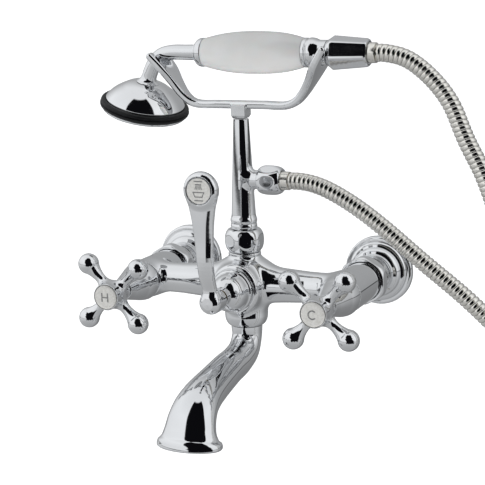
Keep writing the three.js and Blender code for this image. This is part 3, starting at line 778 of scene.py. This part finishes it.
def add_valve(side, name):
    x = side * HALF_CENTRES
    centre = (x, 0, 0)
    body = f"{name}_handle"
    bonnet = turned(f"{name}_bonnet_shell", BONNET, "Y", centre, edge=0.5)
    fitted(bonnet, "faucet", "chrome", f"{name}_bonnet")
    handle = cast(f"{name}_handle_casting", handle_field(CROSS_ANGLES[name]),
                  low=(-33, -160, -33), high=(33, -131, 33), step=0.5, move=Matrix.Translation(centre))
    fitted(handle, body, "chrome", f"{name}_cross_handle")
    fitted(turned(f"{name}_button", BUTTON, "Y", centre, edge=0.3), body, "enamel", f"{name}_index_button")
    marks = add_marks(f"{name}_letter", letter_strokes(name), (x, 0), LETTER_FRONT)
    fitted(marks, body, "enamel", finish=MARK)


add_valve(-1, "hot")
add_valve(1, "cold")

# ---------- diverter and its lever ----------

DIVERTER = outline(
    (10.4, -92), (12.6, -92), (12.6, -106.5), (17.3, -106.5), (17.6, -108.5), (17.2, -110.4), (16.2, -111.1),
    (15.8, -112.4), (15.2, -121.5, 9.6, -126.4), (7.8, -128), (7.6, -133.4), (5, -133.4), (5, -109),
    (10.4, -109), (10.4, -92))
LEVER_HUB = outline(
    (0, -137.6), (8.6, -137.6), (9.3, -139), (9.3, -148), (9.3, -153.4, 4.6, -155), (0, -155.4))
PADDLE = outline(
    (0, -153.8), (9, -153.8), (13.6, -154.4, 14.4, -157.6), (14.6, -162.8, 11.3, -163.9), (0, -163.9))
LABEL = outline((0, -163.2), (9.9, -163.2), (9.9, -163.9), (0, -164.02))
LABEL_FRONT = -164.06
LEVER_ARM = strip([
    (-147.8, 5.8, 6, 4.4), (-150.4, 13, 6.1, 4.4), (-154.2, 22.5, 6.5, 4.4), (-156.4, 35, 7, 4.3),
    (-156.8, 50, 7.8, 4.3), (-157.6, 66, 9.2, 4.3), (-158.4, 82, 12, 4.3)])
SEAT_RADIUS, SEAT_FLOOR = 10.9, -163.0
GROOVE_RADIUS, GROOVE_HALF_WIDTH, GROOVE_FLOOR = 10.4, 0.5, -161.6
LEVER_BORE_RADIUS, LEVER_BORE_END = 4.9, -149.2
SCREW_HOLE_RADIUS, SCREW_HOLE_Y, SCREW_HOLE_TOP = 2.1, -145.5, -4


def lever_field():
    """Hub, arm and paddle in one, less the label's seat with its groove, the bore and the screw hole."""
    hub, paddle = turned_field(LEVER_HUB), turned_field(PADDLE)

    def field(p):
        x, y, z = p.T
        arm = strip_field(LEVER_ARM, y, z, x, 2.4, 0.42)
        whole = smooth_min(hub(np.hypot(x, z), y), arm, 5)
        whole = smooth_min(whole, paddle(np.hypot(x, z - PADDLE_Z), y), 3)
        away = np.hypot(x, z - PADDLE_Z)
        groove = np.maximum(np.abs(away - GROOVE_RADIUS) - GROOVE_HALF_WIDTH, y - GROOVE_FLOOR)
        seat = np.minimum(np.maximum(away - SEAT_RADIUS, y - SEAT_FLOOR), groove)
        bore = np.maximum(np.hypot(x, z) - LEVER_BORE_RADIUS, LEVER_BORE_END - y)
        screw = np.maximum(np.hypot(x, y - SCREW_HOLE_Y) - SCREW_HOLE_RADIUS, z - SCREW_HOLE_TOP)
        return smooth_max(smooth_max(smooth_max(whole, -seat, 0.3), -bore, 0.3), -screw, 0.3)

    return field


def label_marks():
    """A shower's rays over a bath, between two bars, as (x, z) polygons of four corners."""
    def stroke(x0, z0, x1, z1, half=0.33):
        length = math.hypot(x1 - x0, z1 - z0)
        nx, nz = -(z1 - z0) / length * half, (x1 - x0) / length * half
        return [(x0 + nx, z0 + nz), (x0 - nx, z0 - nz), (x1 - nx, z1 - nz), (x1 + nx, z1 + nz)]

    bars = [stroke(-3.6, side * 7.4, 3.6, side * 7.4, 0.4) for side in (1, -1)]
    rose = [stroke(-2.6, 4.9, 2.6, 4.9, 0.5)]
    rays = [stroke(0.95 * i, 3.9, 1.35 * i, 1.2) for i in range(-2, 3)]
    bath = [stroke(-4.9, -1.0, 4.9, -1.0, 0.42), stroke(-4.3, -1.4, -3.1, -4.6),
            stroke(-3.1, -4.6, 3.1, -4.6, 0.42), stroke(3.1, -4.6, 4.3, -1.4)]
    return bars + rose + rays + bath


def add_diverter():
    fitted(turned("diverter_cap", DIVERTER, "Y", edge=0.4), "faucet", "chrome", "diverter_bonnet")
    lever = cast("lever_casting", lever_field(), low=(-16, -166, -11), high=(16, -136, 107), step=0.55)
    fitted(lever, "lever", "chrome", "diverter_lever")
    label = turned("lever_label", LABEL, "Y", (0, 0, PADDLE_Z), edge=0.2)
    fitted(label, "lever", "enamel", "lever_label_disc")
    marks = add_marks("lever_label_marks", label_marks(), (0, PADDLE_Z), LABEL_FRONT)
    fitted(marks, "lever", "enamel", finish=MARK)


add_diverter()

# ---------- spout ----------

# x, y, z, half width, half depth
SPOUT = [
    (0, -81.5, -34.6, 13, 13), (0, -81.9, -43.5, 12.4, 12.4), (0, -88.6, -54, 12.8, 12.8),
    (0, -104.6, -59.6, 13.3, 13.2), (0, -122.5, -61.6, 13.8, 13.6), (0, -140.7, -64.6, 14.4, 14),
    (0, -156, -67.2, 15.3, 14.3), (0, -170, -70.2, 16.6, 14.4), (0, -181.5, -75, 18.2, 13.8),
    (0, -189, -82.5, 19.8, 13.6), (0, -192.8, -91, 21.6, 14.2), (0, -194, -96, 24, 15.7),
    (0, -194.4, -98, 26.2, 17.1), (0, -194.5, -99.4, 26.8, 17.6), (0, -194.6, -101.8, 26.8, 17.6),
    (0, -194.7, -103, 25.6, 16.4)]
SPOUT_WALL = 3
SPOUT_BORE_MOST = (22.6, 14.2)
SPOUT_BORE_FROM = 8


def add_spout():
    """A tube of oval section, flared and flattened toward its mouth, with its bore closed at the tail."""
    dense = smoothed(SPOUT, 7)
    line, halves = dense[:, :3], dense[:, 3:]
    hollow = np.minimum(halves - SPOUT_WALL, SPOUT_BORE_MOST)
    along, _, _ = frames_along(line)
    deep = np.cross(along, (1, 0, 0))
    angles = np.linspace(0, 2 * math.pi, 96, endpoint=False)[None, :, None]

    def section(half):
        wide = np.array((1.0, 0, 0)) * half[:, None, None, 0] * np.cos(angles)
        return line[:, None] + wide + deep[:, None] * half[:, None, None, 1] * np.sin(angles)

    outer, bore = section(halves), section(hollow)[SPOUT_BORE_FROM:]
    points, faces = gridded(np.concatenate([outer, bore[::-1]]))
    made = mesh_object("spout_casting", points, faces, None, 50)
    outward(made.data)
    fitted(made, "faucet", "chrome", "spout")


add_spout()

# ---------- riser, hose outlet and cradle ----------

RISER = outline(
    (0, 42.6), (8.7, 42.6), (8.7, 46.9), (10.4, 46.9), (11.5, 49.1, 10.3, 51.3), (11.7, 53.9, 10.2, 56.6),
    (9.9, 58.5), (6.2, 136.4), (0, 136.4))
BRANCH = outline((0, 0), (7.6, 0), (7.6, 15), (8.5, 15.2), (8.5, 24), (0, 24))
RISER_NUT = outline(
    (10.6, 27.8), (12.6, 27.8), (16.1, 30.6, 16.1, 37.4), (16.1, 43.6, 13, 46.4), (9.1, 46.4), (9.1, 42.3),
    (10.6, 42.3), (10.6, 27.8))
RISER_NUT_FLATS = (15.1, 15.1, 27, 47)
OUTLET_NUT = outline(
    (8, 15.3), (9.6, 15.3), (12.2, 17.4, 12.2, 24), (12.2, 32.6, 9.4, 34.9), (7.9, 34.9), (7.9, 28.6),
    (8.8, 28.6), (8.8, 16), (8, 16), (8, 15.3))
OUTLET_NUT_FLATS = (10.9, 10.9, 15, 36)
OUTLET_FERRULE = outline(
    (4.6, 27.9), (8.2, 27.9), (8.2, 28.3), (7.5, 28.3), (7.5, 41.3), (4.6, 41.3), (4.6, 27.9))


def riser_field():
    column, branch = turned_field(RISER), turned_field(BRANCH)

    def field(p):
        x, y, z = p.T
        depth = y - COLUMN_Y
        side = np.where(x > 0, branch(np.hypot(depth, z - OUTLET_Z), x), 50)
        return smooth_min(column(np.hypot(x, depth), z), side, 4)

    return field


LEFT_FORK = strip([
    (0, BAR_Z, 4.5, 3.3), (-20, BAR_Z, 4.5, 3.3), (-36, BAR_Z, 4.6, 3.3), (-43, 149.6, 5, 3.3),
    (-50, 155.2, 6.2, 3.4), (-57, 165, 8.8, 3.5), (-64, 175.5, 13, 3.5), (-74, 186.8, 15.4, 3.2)])
RIGHT_FORK = strip([
    (0, BAR_Z, 4.5, 3.3), (22, BAR_Z, 4.5, 3.3), (40, BAR_Z, 4.6, 3.3), (49, 151.6, 5, 3.3),
    (55.5, 158.6, 6.4, 3.4), (61.5, 168, 9.6, 3.5), (67.5, 179, 15, 3.5), (75.8, 192.4, 17.4, 3.1)])
FORK_ROUNDING, FORK_CROWN = 2.0, 0.14
BLOCK_FOOT, BLOCK_CHAMFER_TOP = 137, 139.4
BLOCK_FOOT_HALF, BLOCK_HALF_ADDED = 5.0, 1.2

# radius, height of its centre, and how far its sides spread as they rise
LEFT_NOTCH = (8, HANDSET_Z - 4.4, 0.15)
RIGHT_NOTCH = (10.3, HANDSET_Z, 0.16)
INNER_NOTCH, INNER_NOTCH_TO = (12.4, HANDSET_Z, 0.16), 69
OUTER_NOTCH, OUTER_NOTCH_FROM = (13.8, HANDSET_Z, 0.1), 75.5
UNCUT = 99


def notch_field(y, z, radius, height, spread):
    """Signed distance to a slot with a round bottom, open at the top."""
    up = z - height
    sides = (np.abs(y) - radius - np.maximum(up, 0) * spread) / math.hypot(1, spread)
    return np.where(up > 0, sides, np.hypot(y, up) - radius)


def cradle_field(p):
    """The bar with a fork at each end, on its block, less the notches that the hand shower lies in."""
    x, y, z = p.T
    depth = y - COLUMN_Y
    arms = np.where(x < 0, strip_field(LEFT_FORK, x, z, depth, FORK_ROUNDING, FORK_CROWN),
                    strip_field(RIGHT_FORK, x, z, depth, FORK_ROUNDING, FORK_CROWN))
    half = BLOCK_FOOT_HALF + BLOCK_HALF_ADDED * np.clip(
        (z - BLOCK_FOOT) / (BLOCK_CHAMFER_TOP - BLOCK_FOOT), 0, 1)
    block = np.maximum(np.maximum(np.abs(x), np.abs(depth)) - half, np.maximum(BLOCK_FOOT - z, z - BAR_Z))
    whole = smooth_min(arms, block, 1.6)
    left = notch_field(depth, z, *LEFT_NOTCH)
    right = notch_field(depth, z, *RIGHT_NOTCH)
    inner = np.where(x < INNER_NOTCH_TO, notch_field(depth, z, *INNER_NOTCH), UNCUT)
    outer = np.where(x > OUTER_NOTCH_FROM, notch_field(depth, z, *OUTER_NOTCH), UNCUT)
    notch = np.where(x < 0, left, np.minimum(np.minimum(inner, right), outer))
    return smooth_max(whole, -notch, 1.2)


def add_riser():
    centre = (0, COLUMN_Y, 0)
    riser = cast("riser_casting", riser_field(),
                 low=(-13, COLUMN_Y - 13, 41), high=(26, COLUMN_Y + 13, 138), step=0.6)
    fitted(riser, "faucet", "chrome", "riser_column")
    nut = turned("riser_nut", RISER_NUT, "Z", centre, facets=180, flats=RISER_NUT_FLATS)
    fitted(nut, "faucet", "chrome", "riser_coupling_nut")
    outlet = (0, COLUMN_Y, OUTLET_Z)
    nut = turned("outlet_nut", OUTLET_NUT, "X", outlet, facets=180, flats=OUTLET_NUT_FLATS)
    fitted(nut, "faucet", "chrome", "outlet_hose_nut")
    ferrule = turned("outlet_ferrule", OUTLET_FERRULE, "X", outlet)
    fitted(ferrule, "faucet", "hose_strip", "outlet_hose_ferrule")
    cradle = cast("cradle_casting", cradle_field,
                  low=(-80, COLUMN_Y - 19, 136), high=(82, COLUMN_Y + 19, 198), step=0.65)
    fitted(cradle, "faucet", "chrome", "cradle")


add_riser()

# ---------- hand shower ----------

HANDSET = Matrix.Translation((0, COLUMN_Y, HANDSET_Z)) @ Matrix.Rotation(math.radians(HANDSET_ROLL), 4, "X")
HEAD = (HANDSET @ Matrix.Translation((HEAD_CENTRE[0], 0, HEAD_CENTRE[1]))
        @ Matrix.Rotation(math.radians(HEAD_LEAN), 4, "Y"))
FRONT_FERRULE = outline(
    (6.5, -38.6), (7.3, -38.6), (7.6, -37.2), (10.6, -36.2, 11.4, -33.4), (11.6, -32.6), (11.6, -30.4),
    (6.5, -30.4), (6.5, -38.6))
GRIP = outline(
    (5.8, -30.1), (11.3, -30.1), (14.6, -18, 15.8, -7), (17, 3, 16.8, 16), (16.8, 30, 15.2, 41),
    (13.8, 49, 11.4, 56.2), (5.8, 56.2), (5.8, -30.1))
REAR_FERRULE = outline(
    (5.8, 56.5), (11.6, 56.5), (11.6, 59), (10.6, 59.6), (10.6, 60.6), (11.7, 61.2), (12, 64.6, 10.8, 67),
    (10, 68.4, 9.9, 70), (9.9, 75.4), (8, 75.4), (8, 87.5), (4.4, 87.5), (4.4, 66.5), (5.8, 66.5),
    (5.8, 56.5))
HOSE_NUT = outline(
    (8.4, 75.8), (9.8, 75.8), (13.4, 80.4), (13.4, 82), (11.2, 107.6), (10.4, 109.2), (7.7, 109.2),
    (7.7, 92.3), (8.4, 92.3), (8.4, 75.8))
HOSE_NUT_FLATS = (12.4, 9.9, 75, 110)
HOSE_END = outline(
    (4.8, 89.7), (7.4, 89.7), (7.4, 109.6), (8, 109.9), (8, 115.2), (4.8, 115.2), (4.8, 89.7))
BELL = outline(
    (4.4, 17.2), (9.6, 17.2), (15, 16.4, 20.2, 12.6), (28.6, 7.6, 32.9, 1), (32.8, -0.6), (32.8, -5.6),
    (31, -5.6), (31, -0.4), (26.6, 5.8, 19, 10.6), (14, 13.9, 9, 15.2), (4.4, 15.2), (4.4, 17.2))
BUMPER = outline(
    (33.1, -0.3), (34, -0.3), (36.9, -0.3, 36.9, -2.6), (36.1, -3.1), (36.1, -3.5), (37.3, -4),
    (37.3, -6.8, 34.4, -6.9), (33.1, -6.9), (33.1, -0.3))
FACE = outline(
    (0, -7.4), (28.6, -7.4), (28.6, -1.6), (30.4, -1.6), (30.4, -7.2), (34.6, -7.2), (34.6, -8.6),
    (33.8, -9.3), (28, -9.3), (27, -8.8), (0, -8.8))

# x, y, z, radius
NECK = [
    (-31, 0, 0, 6.2), (-46, 0, 0, 6.2), (-60, 0, -0.2, 6.2), (-69.5, 0, -2.6, 6.2), (-76.6, 0, -8.6, 6.2),
    (-81.2, 0, -16, 6.2), (-83.5, 0, -21, 6.35), (-84.35, 0, -23.2, 7.3), (-84.75, 0, -24.5, 9.2),
    (-84.85, 0, -24.85, 9.6)]
NOZZLE_RINGS = ((6, 9), (12, 19))
NOZZLE_FACETS = 10
NOZZLE_RADIUS = 0.75
NOZZLE_TIP, NOZZLE_FOOT = -8.86, -8.6


def nozzle_mesh():
    """A short rubber tip for each nozzle, just proud of the face, in rings of (count, radius)."""
    points, faces = [], []
    angles = [2 * math.pi * k / NOZZLE_FACETS for k in range(NOZZLE_FACETS)]
    rim = [(NOZZLE_RADIUS * math.cos(a), NOZZLE_RADIUS * math.sin(a)) for a in angles]
    for count, radius in NOZZLE_RINGS:
        for i in range(count):
            turn = 2 * math.pi * i / count
            x, y = radius * math.cos(turn), radius * math.sin(turn)
            tip = range(len(points), len(points) + NOZZLE_FACETS)
            foot = range(tip.stop, tip.stop + NOZZLE_FACETS)
            for z in (NOZZLE_TIP, NOZZLE_FOOT):
                points += [(x + across, y + up, z) for across, up in rim]
            faces += [tuple(reversed(tip)), tuple(foot)]
            for k in range(NOZZLE_FACETS):
                after = (k + 1) % NOZZLE_FACETS
                faces.append((tip[k], tip[after], foot[after], foot[k]))
    return points, faces


def add_hand_shower():
    body = "hand_shower"
    fitted(turned("front_ferrule", FRONT_FERRULE, "X", move=HANDSET), body, "chrome", "front_grip_ferrule")
    fitted(turned("grip", GRIP, "X", facets=128, move=HANDSET, edge=0.6), body, "porcelain", "porcelain_grip")
    fitted(turned("rear_ferrule", REAR_FERRULE, "X", move=HANDSET), body, "chrome", "rear_grip_ferrule")
    screwed = HANDSET @ Matrix.Rotation(math.radians(HOSE_NUT_TURN), 4, "X")
    nut = turned("hose_cone_nut", HOSE_NUT, "X", facets=180, move=screwed, flats=HOSE_NUT_FLATS)
    fitted(nut, body, "chrome", "handset_hose_nut")
    hose_end = turned("hose_end_ferrule", HOSE_END, "X", move=HANDSET)
    fitted(hose_end, body, "hose_strip", "handset_hose_ferrule")
    dense = smoothed(NECK)
    neck = swept("neck_tube", dense[:, :3], dense[:, 3], 64, HANDSET, 50)
    fitted(neck, body, "chrome", "shower_neck")
    fitted(turned("bell", BELL, "Z", facets=144, move=HEAD), body, "chrome", "shower_bell")
    fitted(turned("bumper_ring", BUMPER, "Z", facets=144, move=HEAD), body, "rubber", "rubber_bumper_ring")
    fitted(turned("nozzle_plate", FACE, "Z", facets=144, move=HEAD), body, "chrome", "spray_face")
    points, faces = nozzle_mesh()
    nozzles = mesh_object("nozzle_tips", points, faces, HEAD)
    outward(nozzles.data)
    fitted(nozzles, body, "rubber")


add_hand_shower()

# ---------- studio ----------

# metres from here on
FLOOR_Z = -0.62
FLOOR_HALF = 40
FLOOR_GLOW = 0.6
LIGHT_AIM = (0, -0.08, 0.03)

# The tent's grey at shares of its height, from straight below to straight above.
TENT_STOPS = [
    (0.0, 0.42), (0.25, 0.50), (0.36, 0.63), (0.447, 0.69), (0.455, 0.05), (0.463, 0.05), (0.472, 0.84),
    (0.56, 0.90), (0.8, 0.98), (1.0, 0.86)]
TENT_TINT = (0.985, 1, 1.015)
TENT_FRONT, TENT_BACK = 1.0, 0.42
OPENING_COLOR = (0.004, 0.004, 0.005, 1)
OPENING_EDGE = (-0.02, 0.04)
OPENING_TOP, OPENING_FOOT = (0.97, 0.95), (-0.36, -0.33)


def add_floor():
    rows = [[(-FLOOR_HALF, y, FLOOR_Z), (FLOOR_HALF, y, FLOOR_Z)] for y in (-FLOOR_HALF, FLOOR_HALF)]
    mesh = bpy.data.meshes.new("floor")
    mesh.from_pydata([p for row in rows for p in row], [], [(0, 1, 3, 2)])
    floor = bpy.data.objects.new("floor", mesh)
    bpy.context.scene.collection.objects.link(floor)
    made = Finish("studio_floor", (0.95, 0.95, 0.95), 0.0, 0.9)
    made.tinted(made.noise(0.6, 2), (0.94, 0.94, 0.94), (0.96, 0.96, 0.96))
    made.shader.inputs["Emission Color"].default_value = (1, 1, 1, 1)
    made.shader.inputs["Emission Strength"].default_value = FLOOR_GLOW
    mesh.materials.append(made.material)
    floor.visible_glossy = False


def add_light(name, place, size, power):
    data = bpy.data.lights.new(name, "AREA")
    data.shape = "DISK"
    data.size = size
    data.energy = power
    light = bpy.data.objects.new(name, data)
    light.location = place
    light.rotation_euler = (Vector(LIGHT_AIM) - Vector(place)).to_track_quat("-Z", "Y").to_euler()
    light.visible_glossy = False
    bpy.context.scene.collection.objects.link(light)


def add_world():
    """A light tent: bright above, grey below, with a dark seam round it and a dark opening at its front."""
    world = bpy.data.worlds.new("studio")
    bpy.context.scene.world = world
    world.use_nodes = True
    tree = world.node_tree
    new, link = tree.nodes.new, tree.links.new
    background = tree.nodes["Background"]
    place = new("ShaderNodeTexCoord").outputs["Generated"]
    split = new("ShaderNodeSeparateXYZ")
    link(place, split.inputs["Vector"])

    def math_node(kind, *values):
        node = new("ShaderNodeMath")
        node.operation = kind
        for value, entry in zip(values, node.inputs):
            if isinstance(value, (int, float)):
                entry.default_value = value
            else:
                link(value, entry)
        return node.outputs[0]

    def dot(vector):
        node = new("ShaderNodeVectorMath")
        node.operation = "DOT_PRODUCT"
        link(place, node.inputs[0])
        node.inputs[1].default_value = vector
        return node.outputs["Value"]

    def ramped(value, a, b, low=0.0, high=1.0):
        node = new("ShaderNodeMapRange")
        node.interpolation_type = "SMOOTHSTEP"
        for key, number in (("From Min", a), ("From Max", b), ("To Min", low), ("To Max", high)):
            node.inputs[key].default_value = number
        link(value, node.inputs["Value"])
        return node.outputs["Result"]

    az = math.radians(CAMERA_AZIMUTH)
    side = dot((math.cos(az), math.sin(az), 0))
    ahead = dot((math.sin(az), -math.cos(az), 0))
    turn = math_node("ARCTAN2", side, ahead)
    height = split.outputs["Z"]
    reach = math_node("ABSOLUTE", math_node("ADD", turn, ramped(height, 0.0, 0.45, -0.17, 0.06)))
    width = ramped(height, 0.3, 0.95, 0.70, 0.80)
    opening = ramped(math_node("SUBTRACT", width, reach), *OPENING_EDGE)
    for limits in (OPENING_TOP, OPENING_FOOT):
        opening = math_node("MULTIPLY", opening, ramped(height, *limits))
    back = ramped(split.outputs["Y"], 0.1, 0.9, TENT_FRONT, TENT_BACK)
    ramp = new("ShaderNodeValToRGB")
    elements = ramp.color_ramp.elements
    while len(elements) < len(TENT_STOPS):
        elements.new(0.5)
    for element, (position, value) in zip(elements, TENT_STOPS):
        element.position = position
        element.color = (*(value * tint for tint in TENT_TINT), 1)
    link(math_node("MULTIPLY_ADD", height, 0.5, 0.5), ramp.inputs["Fac"])
    mix = new("ShaderNodeMix")
    mix.data_type = "RGBA"
    link(opening, mix.inputs["Factor"])
    first, second = [entry for entry in mix.inputs if entry.type == "RGBA"]
    link(ramp.outputs["Color"], first)
    second.default_value = OPENING_COLOR
    result = [entry for entry in mix.outputs if entry.type == "RGBA"][0]
    link(result, background.inputs["Color"])
    link(back, background.inputs["Strength"])


add_floor()
add_world()
add_light("key", place=(-0.9, -1.0, 1.9), size=1.4, power=5)
bpy.context.scene.view_settings.view_transform = "Standard"
